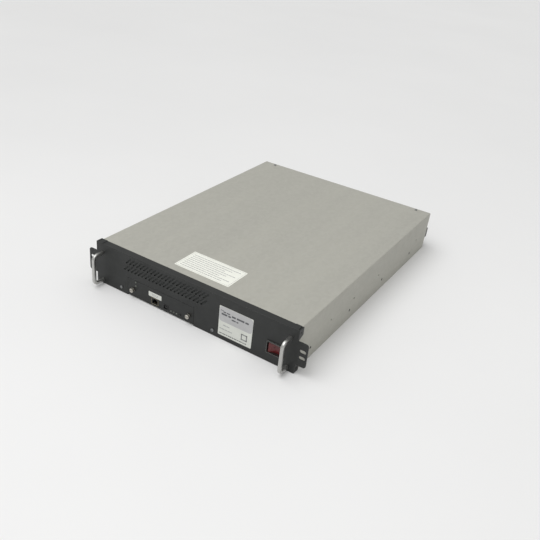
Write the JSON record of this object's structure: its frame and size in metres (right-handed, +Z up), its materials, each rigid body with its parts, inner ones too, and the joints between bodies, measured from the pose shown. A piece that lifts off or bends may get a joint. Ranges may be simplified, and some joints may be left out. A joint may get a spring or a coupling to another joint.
{
  "type": "rack-mount uninterruptible power supply",
  "caption": "Low wide steel case with a black folded front panel, rack ears, two bar handles, slanted vents, a red rocker switch and a pull-out interface card.",
  "frame": {"origin": "middle of the footprint on the resting face", "axes": "+X to the right seen from the front, +Y from the front panel to the rear, +Z up"},
  "size_m": [0.4826, 0.6414, 0.0879],
  "materials": {
    "zinc_steel": "zinc-coated sheet, satin",
    "black_steel": "fine-texture powder coat",
    "aluminium": "satin anodised",
    "screw_steel": "zinc plated",
    "black_screw": "black oxide",
    "nickel": "nickel plated",
    "black_plastic": "moulded",
    "red_plastic": "moulded, translucent red",
    "label_paper": "printed, matt",
    "board": "solder mask",
    "battery_plastic": "moulded",
    "lead": "dull",
    "tab_metal": "tinned",
    "lead_insulation": "matt",
    "ferrite": "sintered",
    "winding_tape": "wrapped",
    "heatsink": "extruded",
    "can": "sleeved",
    "relay_plastic": "moulded",
    "lamp_lens": "clear moulding",
    "nylon": "moulded",
    "brass": "turned"
  },
  "bodies": {
    "chassis": {"battery_1": "battery_plastic", "battery_2": "battery_plastic", "battery_3": "battery_plastic", "battery_4": "battery_plastic", "battery_lead_negative": "black_plastic", "battery_lead_positive": "lead_insulation", "battery_links": "lead_insulation", "battery_plates": "lead", "battery_strap": "zinc_steel", "battery_tabs": "tab_metal", "board_screws": "screw_steel", "board_standoffs": "brass", "breaker_body": "black_plastic", "capacitors": "can", "card_guides": "nylon", "chassis_tray": "zinc_steel", "chokes": "brass", "clinch_nuts": "screw_steel", "connector_panel": "zinc_steel", "earth_stud": "brass", "fan_frame_left": "black_plastic", "fan_frame_right": "black_plastic", "fan_guards": "nickel", "flush_screws": "black_screw", "front_label": "label_paper", "front_panel": "black_steel", "handle_left": "aluminium", "handle_right": "aluminium", "handle_screws": "screw_steel", "heatsinks": "heatsink", "inlet_pins": "nickel", "outlets": "black_plastic", "panel_screws": "screw_steel", "power_board": "board", "power_inlet": "black_plastic", "power_transistors": "black_plastic", "rear_panel": "zinc_steel", "rear_wall_screws": "screw_steel", "relays": "relay_plastic", "rocker_housing": "black_plastic", "terminal_block": "black_plastic", "terminal_cover": "black_plastic", "top_cover": "zinc_steel", "top_label": "label_paper", "transformer_coil": "winding_tape", "transformer_core": "ferrite"},
    "card": {"card_plate": "black_steel", "card_board": "board", "card_label": "label_paper", "network_socket": "nickel", "usb_socket": "black_plastic", "card_lamps": "lamp_lens", "reset_switch": "black_plastic"},
    "reset_button": {"reset_button": "nylon"},
    "thumbscrew_left": {"thumbscrew_left": "nickel"},
    "thumbscrew_right": {"thumbscrew_right": "nickel"},
    "rocker": {"rocker": "red_plastic"},
    "fan_rotor_left": {"fan_rotor_left": "black_plastic"},
    "fan_rotor_right": {"fan_rotor_right": "black_plastic"},
    "breaker_button": {"breaker_button": "black_plastic"}
  },
  "joints": [
    {"name": "power_rocker", "type": "hinge", "parent": "chassis", "child": "rocker", "pos_m": [0.1815, -0.28735, 0.0306], "axis": [0, 0, 1], "range_deg": [-22, 0]},
    {"name": "card_slide", "type": "slide", "parent": "chassis", "child": "card", "axis": [0, -1, 0], "range_m": [0, 0.115]},
    {"name": "thumbscrew_left_turn", "type": "hinge", "parent": "card", "child": "thumbscrew_left", "pos_m": [-0.1299, -0.29375, 0.017], "axis": [0, 1, 0], "continuous": true},
    {"name": "thumbscrew_right_turn", "type": "hinge", "parent": "card", "child": "thumbscrew_right", "pos_m": [0.0022, -0.29375, 0.017], "axis": [0, 1, 0], "continuous": true},
    {"name": "reset_press", "type": "slide", "parent": "card", "child": "reset_button", "axis": [0, 1, 0], "range_m": [0, 0.0008], "stiffness_N_per_m": 200},
    {"name": "fan_left_spin", "type": "hinge", "parent": "chassis", "child": "fan_rotor_left", "pos_m": [-0.165, 0.28925, 0.043], "axis": [0, 1, 0], "continuous": true},
    {"name": "fan_right_spin", "type": "hinge", "parent": "chassis", "child": "fan_rotor_right", "pos_m": [-0.078, 0.28925, 0.043], "axis": [0, 1, 0], "continuous": true},
    {"name": "breaker_trip", "type": "slide", "parent": "chassis", "child": "breaker_button", "axis": [0, 1, 0], "range_m": [0, 0.004]}
  ]
}
